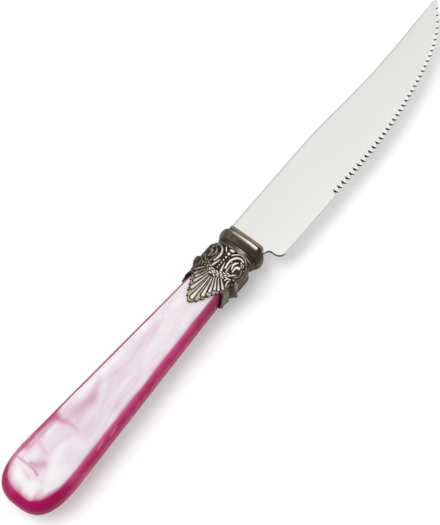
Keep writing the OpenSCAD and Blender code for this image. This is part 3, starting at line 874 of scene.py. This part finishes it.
bore_turn = np.linspace(0, math.pi / 2, GRIP_QUARTER + 1)
for station in (BORE_END, HANDLE_FROM):
    grip_ring(station, BORE_RADIUS * np.sin(bore_turn), BORE_RADIUS * np.cos(bore_turn))
for station in np.linspace(HANDLE_FROM, TAPER_END, TAPER_ROWS):
    outer_ring(station, handle_half(station, 0), handle_half(station, 1))
for turn in np.radians(np.linspace(*BUTT_TURN, BUTT_ROWS)):
    plan = (1 - math.sin(turn) ** BUTT_PLAN) ** (1 / BUTT_PLAN)
    profile = (1 - math.sin(turn) ** BUTT_SIDE) ** (1 / BUTT_SIDE)
    outer_ring(TAPER_END + BUTT_ROUND * math.sin(turn),
               HANDLE_BUTT[0] / 2 * plan, HANDLE_BUTT[1] / 2 * profile)
grip = skin("pearl_grip", np.array(grip_rings), closed=False,
            caps=((0, (BORE_END, 0, 0)), (len(grip_rings) - 1, (BUTT_END, 0, 0))))
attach(grip, "root")
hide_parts("handle")


def point_values(name):
    values = np.zeros(len(grip.data.vertices) * 3)
    grip.data.vertices.foreach_get(name, values)
    return values.reshape(-1, 3)


points = (point_values("co") - np.array(origin)) / MM * np.array([-1, 1, 1])
normals = point_values("normal")
upside = np.sign(normals[:, 2])
grip_behind = points[:, 0]
grip_across = points[:, 1] * upside
grip_high = points[:, 2] * upside

# How the flakes lie, which sets where the painted pearl sheen gives way to pink. Their tilt and these shifts
# are painted
# light: on the spine's side the pink reaches further in below the crease, and on the other side the pearl
# comes further out
SHEEN_TOWARDS = np.array((0.17, 0.17, 0.97))
CREASE = (84, 92)
HELD_BACK = 0.045
HELD_BACK_MORE = 0.115
LET_GO = 0.8
LET_GO_AT = (103, 109)
BROUGHT_OUT = 0.03
BROUGHT_FROM = (50, 65)
BROUGHT_TO = (113, 108)
lean = np.clip(4 * normals[:, 1] * normals[:, 2], 0, 1)
below_crease = eased(grip_behind, *CREASE)
let_go = LET_GO * eased(grip_behind, *LET_GO_AT)
held_back = HELD_BACK + HELD_BACK_MORE * below_crease * (1 - let_go)
brought_out = BROUGHT_OUT * eased(grip_behind, *BROUGHT_FROM) * eased(grip_behind, *BROUGHT_TO)
add_measure(grip, "lie", np.abs(normals @ SHEEN_TOWARDS) - held_back * lean + brought_out * (1 - lean))
# The pink is darkened on the spine's side as painted shade and by the ferrule as a painted reflection of it,
# and is deep and soft-edged round the butt
CLEARER_BELOW = 0.55
FERRULE_REFLECTION_SHARE = 0.6
FERRULE_REFLECTION_SPAN = (44, 22)
DEEP_FROM = (101, 110)
AT_BUTT = (106, 114)
DEEP_AT_BUTT = 0.75
at_butt = eased(grip_behind, *AT_BUTT)
painted_darkening = lean * (1 - CLEARER_BELOW * below_crease)
add_measure(grip, "painted_darkening", np.maximum(painted_darkening, FERRULE_REFLECTION_SHARE * eased(grip_behind, *FERRULE_REFLECTION_SPAN)))
deep = eased(grip_behind, *DEEP_FROM) * (1 - lean)
add_measure(grip, "deep", np.maximum(deep, DEEP_AT_BUTT * at_butt))
add_measure(grip, "butt", at_butt)


def lay_mark(mark, line, half_width, strength, swell=1.0):
    """Lays a soft mark along a line. half_width and strength are its start's and its end's."""
    apart, along = nearest(grip_behind, grip_across, smooth_line(line))
    laid = between(strength, along ** swell) * np.exp(-(apart / between(half_width, along)) ** 2)
    return np.maximum(mark, laid)


# Folds of clearer pink between the pearl, as (line, half width at its start and end, strength likewise)
FOLDS = (
    (((90.5, 10.4), (90.4, 8.2), (90.1, 4.8), (89.6, 2.4), (89.6, -2.0)), (1.7, 0.45), (1.2, 0.1)),
    (((108.4, 10.4), (108.4, 8.8), (108.7, 4.9), (108.8, 1.6), (109.6, -0.6)), (0.34, 0.48), (0.5, 0.65)),
    (((107.9, 3.4), (107.3, 1.6), (105.8, 0.0)), (1.0, 1.6), (0.6, 0.42)),
    (((110.9, 4.6), (111.5, 2.2), (112.2, 0.6)), (0.6, 0.5), (0.14, 0.24)),
    (((100.4, 5.8), (101.8, 3.4), (102.3, 1.4)), (0.8, 0.6), (0.2, 0.2)),
)
FOLD_SWELL = 0.7
fold = np.zeros(len(points))
for line, half_width, strength in FOLDS:
    fold = lay_mark(fold, line, half_width, strength, FOLD_SWELL)
add_measure(grip, "fold", np.minimum(fold, 1))

# Clouds in the pearl, laid out as the folds are: smoky ones count below 0 and white ones above it
SMOKY_CLOUDS = (
    (((70.5, 5.7), (75.5, 3.6), (79.0, 2.4)), (0.9, 2.5), (0.8, 1.4)),
    (((79.0, 2.6), (82.0, 3.0), (85.4, 3.6), (88.0, 4.2)), (2.5, 1.9), (1.4, 0.7)),
    (((80.5, -2.6), (85.0, -3.4), (89.0, -3.8)), (2.2, 2.6), (0.3, 0.55)),
)
WHITE_CLOUDS_AND_SHEEN = (
    # The first white cloud, round the butt, is partly a painted highlight
    (((101.0, -3.0), (107.5, -4.7), (112.0, -5.0), (114.0, 0.0), (113.0, 5.0)), (2.6, 2.2), (0.5, 0.8)),
    (((92.5, 6.8), (96.0, 6.4)), (1.5, 1.5), (0.6, 0.6)),
    (((66.6, 5.6), (71.0, 3.2), (75.0, 1.2), (79.8, -1.2), (82.2, -2.5)), (0.8, 1.0), (0.4, 0.5)),
    (((40.0, 5.2), (66.0, 6.4), (80.0, 6.4)), (1.4, 1.4), (0.3, 0.6)),
    (((35.0, -3.6), (60.0, -5.4), (86.0, -7.4), (100.0, -8.2)), (0.8, 0.8), (0.4, 0.4)),
)
smoke = np.zeros(len(points))
for cloud in SMOKY_CLOUDS:
    smoke = lay_mark(smoke, *cloud)
white_and_sheen = np.zeros(len(points))
for cloud in WHITE_CLOUDS_AND_SHEEN:
    white_and_sheen = lay_mark(white_and_sheen, *cloud)
add_measure(grip, "cloud", white_and_sheen - smoke)

# Painted highlights: pale streaks in the pink of the sides, as (which side, line by distance behind the front
# and height)
HIGHLIGHT_STREAKS = (
    (-1, ((90.6, 3.8), (88.6, 4.1), (86.4, 4.4))),
    (-1, ((84.2, 3.3), (83.0, 3.4), (79.8, 3.7))),
    (1, ((98.0, 4.5), (102.0, 4.25), (107.0, 4.2), (111.5, 4.0))),
)
HIGHLIGHT_STREAK_HALF = (0.12, 0.38)
highlight_streak = np.zeros(len(points))
for way, line in HIGHLIGHT_STREAKS:
    apart, along = nearest(grip_behind, grip_high, smooth_line(line))
    half = between(HIGHLIGHT_STREAK_HALF, np.sin(math.pi * along))
    highlight_streak = np.maximum(highlight_streak, np.exp(-(apart / half) ** 2) * (grip_across * way > 0))
add_measure(grip, "highlight_streak", highlight_streak)

PEARL_TONES = ((0.12, (0.60, 0.36, 0.46, 1)), (0.36, (0.80, 0.66, 0.73, 1)),
               (0.5, (0.845, 0.745, 0.80, 1)), (0.72, (0.93, 0.91, 0.925, 1)))
PINK_TONES = ((0.0, (0.56, 0.022, 0.135, 1)), (0.4, (0.57, 0.028, 0.15, 1)), (0.64, (0.66, 0.06, 0.22, 1)),
              (0.74, (0.69, 0.11, 0.29, 1)), (0.82, (0.74, 0.28, 0.45, 1)))
FOLD_PINK = (0.58, 0.07, 0.24, 1)
CLEAR_PINK = (0.74, 0.12, 0.3, 1)
DEEP_PINK = (0.42, 0.002, 0.095, 1)
SHADED_PLUM = (0.13, 0.035, 0.07, 1)
HIGHLIGHT_PINK = (0.80, 0.42, 0.58, 1)
PEARL_FROM = (0.765, 0.745)
PEARL_FULL = (0.855, 0.905)
RAGGED = 0.022
CLOUD_SHARE = 0.24
DARKENING_SHARE = 0.8
SILK_DRAWN = (0.32, 1.0, 1.0)
pearl, tree, shader = new_finish("pearl_acrylic")
flakes = read_measure(tree, "lie")
clouded = read_measure(tree, "cloud")
deepened = read_measure(tree, "deep")
softened = read_measure(tree, "butt")
spot = add_node(tree, "ShaderNodeTexCoord").outputs["Object"]
drawn = add_node(tree, "ShaderNodeVectorMath", {"operation": "MULTIPLY"},
                 {0: spot, 1: SILK_DRAWN}).outputs[0]
silk = add_node(tree, "ShaderNodeTexNoise", {},
                {"Vector": drawn, "Scale": 130.0, "Detail": 3.0, "Roughness": 0.5,
                 "Distortion": 1.2}).outputs[0]
smudge, grain = add_marks(tree, 160.0, 1800.0, (0.3, 1.0, 1.0))
ragged = calculate(tree, "MULTIPLY", spread(tree, silk, 0.3, 0.7, -RAGGED, RAGGED),
                   spread(tree, deepened, 0, 1, 1.0, 2.6))
# The pale pearl is a painted sheen, set by which way the skin faces
pearl_sheen = spread(tree, calculate(tree, "ADD", flakes, ragged),
                spread(tree, softened, 0, 1, *PEARL_FROM), spread(tree, softened, 0, 1, *PEARL_FULL))
# The pearl of the faces: silk that is calmer inside a cloud, and the folds
evened = spread(tree, calculate(tree, "ABSOLUTE", clouded), 0, 1, 0, 0.75)
calm = blend_values(tree, evened, silk, 0.5)
tone = calculate(tree, "ADD", calm, calculate(tree, "MULTIPLY", clouded, CLOUD_SHARE))
face_colour = colour_steps(tree, tone, PEARL_TONES)
face_colour = blend_colours(tree, read_measure(tree, "fold"), face_colour, FOLD_PINK)
# The pink of the sides: clear, then deep, darkened by painted shade and reflection, and with painted
# highlights
side_colour = colour_steps(tree, flakes, PINK_TONES)
clear = spread(tree, smudge, 0.4, 0.65, 0.0, 0.5)
side_colour = blend_colours(tree, clear, side_colour, CLEAR_PINK)
deepened = calculate(tree, "MULTIPLY", deepened, spread(tree, flakes, 0.7, 0.84, 0.95, 0.3))
side_colour = blend_colours(tree, deepened, side_colour, DEEP_PINK)
# Painted shade on the spine's side and a painted reflection of the dark ferrule
darkened = calculate(tree, "MULTIPLY", read_measure(tree, "painted_darkening"), DARKENING_SHARE)
side_colour = blend_colours(tree, darkened, side_colour, SHADED_PLUM)
# Painted highlights: pale streaks laid on the pink
highlighted = calculate(tree, "MULTIPLY", read_measure(tree, "highlight_streak"),
                     spread(tree, silk, 0.35, 0.6, 0.3, 0.75))
side_colour = blend_colours(tree, highlighted, side_colour, HIGHLIGHT_PINK)
tree.links.new(blend_colours(tree, pearl_sheen, side_colour, face_colour), shader.inputs["Base Color"])
tree.links.new(spread(tree, smudge, 0.3, 0.7, 0.2, 0.3), shader.inputs["Roughness"])
shader.inputs["Coat Weight"].default_value = 0.05
shader.inputs["Coat Roughness"].default_value = 0.04
shader.inputs["Specular IOR Level"].default_value = 0.04
give_finish(grip, pearl)

# The stage: a pale paper floor in a white room, a large soft key lamp behind the spine, a low strip
# towards the tip and a small lamp on the edge's side. No lamp is mirrored in the metal.
FLOOR_DROP = 0.0002
FLOOR_GREY = (0.85, 0.85, 0.85, 1)
FLOOR_LIFT = 0.27
ROOM_FILL = 0.3
WHITE_LIGHT = (1, 1, 1, 1)


def seen_rays(tree):
    """1 for the rays that see a background: the camera's, a mirror's and those through glass."""
    ray = add_node(tree, "ShaderNodeLightPath").outputs
    seen = calculate(tree, "MAXIMUM", ray["Is Camera Ray"], ray["Is Glossy Ray"])
    return calculate(tree, "MAXIMUM", seen, ray["Is Transmission Ray"])


bpy.ops.mesh.primitive_plane_add(size=6, location=(0, 0, cad_box[0].z - FLOOR_DROP))
floor = bpy.context.object
floor.name = "floor"
paper, tree, shader = new_finish("floor_paper")
tree.nodes.remove(shader)
sheet = add_node(tree, "ShaderNodeBsdfDiffuse", {}, {"Color": FLOOR_GREY}).outputs[0]
lifted = calculate(tree, "MULTIPLY", seen_rays(tree), FLOOR_LIFT)
lift = add_node(tree, "ShaderNodeEmission", {}, {"Color": WHITE_LIGHT, "Strength": lifted}).outputs[0]
both = add_node(tree, "ShaderNodeAddShader", {}, {0: sheet, 1: lift}).outputs[0]
tree.links.new(both, tree.nodes["Material Output"].inputs["Surface"])
give_finish(floor, paper)

scene = bpy.context.scene
scene.view_settings.view_transform = "Standard"
world = bpy.data.worlds.new("white_room")
scene.world = world
world.use_nodes = True
tree = world.node_tree
backdrop = tree.nodes["Background"]
backdrop.inputs["Color"].default_value = WHITE_LIGHT
tree.links.new(spread(tree, seen_rays(tree), 0, 1, ROOM_FILL, 1.0), backdrop.inputs["Strength"])


def add_lamp(name, towards, distance, wide, long, power):
    """A soft lamp that faces the ferrule's front, from a direction and a distance."""
    light = bpy.data.lights.new(name, "AREA")
    light.shape = "RECTANGLE"
    light.size = wide
    light.size_y = long
    light.energy = power
    lamp = bpy.data.objects.new(name, light)
    scene.collection.objects.link(lamp)
    aim = Vector(towards).normalized()
    lamp.location = origin + aim * distance
    lamp.rotation_euler = aim.to_track_quat("Z", "Y").to_euler()
    lamp.visible_glossy = False


add_lamp("key_lamp", (-0.31, 0.34, 0.88), 1.2, 0.9, 0.9, 10.3)
add_lamp("tip_strip", (0.84, 0.25, 0.48), 1.0, 0.45, 0.16, 1.2)
add_lamp("side_lamp", (0.35, -0.64, 0.69), 1.2, 0.3, 0.3, 1.6)

# The camera stands over the handle's lower side; the image is taken to be 440 by 525
IMAGE_LONG = 525
FOCAL_PIXELS = 2693.8
AZIMUTH = math.radians(-51.6)
ELEVATION = math.radians(63.5)
DISTANCE = 0.9
TARGET = (-11.67, 2.49, 0.0)
lens = bpy.data.cameras.new("camera")
lens.sensor_width = 36.0
lens.lens = FOCAL_PIXELS * lens.sensor_width / IMAGE_LONG
camera = bpy.data.objects.new("camera", lens)
scene.collection.objects.link(camera)
back = Vector((math.sin(AZIMUTH) * math.cos(ELEVATION), -math.cos(AZIMUTH) * math.cos(ELEVATION),
               math.sin(ELEVATION)))
camera.location = origin + Vector(TARGET) * MM + back * DISTANCE
camera.rotation_euler = (-back).to_track_quat("-Z", "Y").to_euler()
scene.camera = camera
